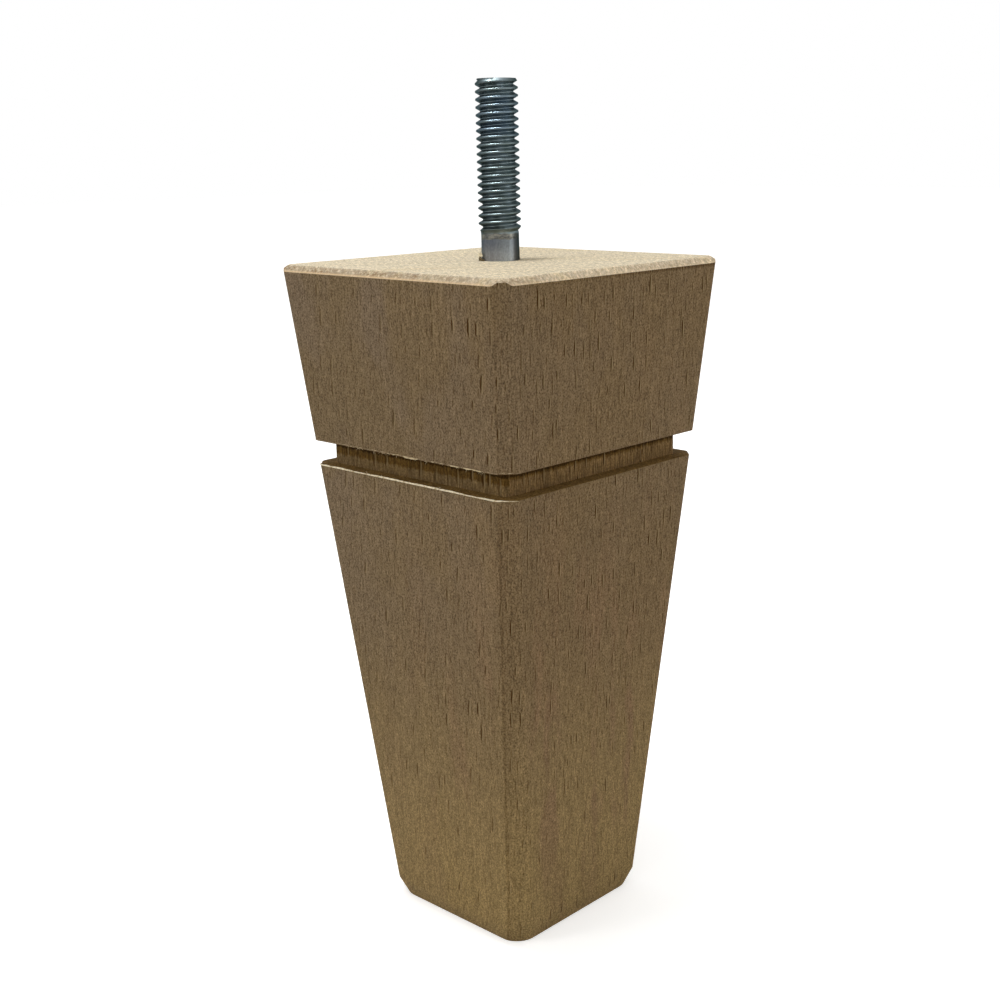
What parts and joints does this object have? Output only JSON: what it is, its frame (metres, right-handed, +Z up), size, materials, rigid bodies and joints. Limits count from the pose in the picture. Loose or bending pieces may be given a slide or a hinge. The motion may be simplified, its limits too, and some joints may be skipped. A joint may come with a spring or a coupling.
{
  "type": "furniture leg",
  "caption": "Tapered square beech furniture leg with a ring groove below its top, softened corners and a threaded steel stud standing out of the top face.",
  "frame": {"origin": "middle of the foot's underside, on the leg's axis", "axes": "+Z up along the leg towards the stud; the four side faces look along +X, -X, +Y and -Y"},
  "size_m": [0.0596, 0.0596, 0.1602],
  "materials": {
    "beech": "sanded, unfinished",
    "zinc_steel": "zinc-plated"
  },
  "bodies": {
    "root": {"leg_body": "beech", "hanger_bolt": "zinc_steel"}
  },
  "joints": []
}
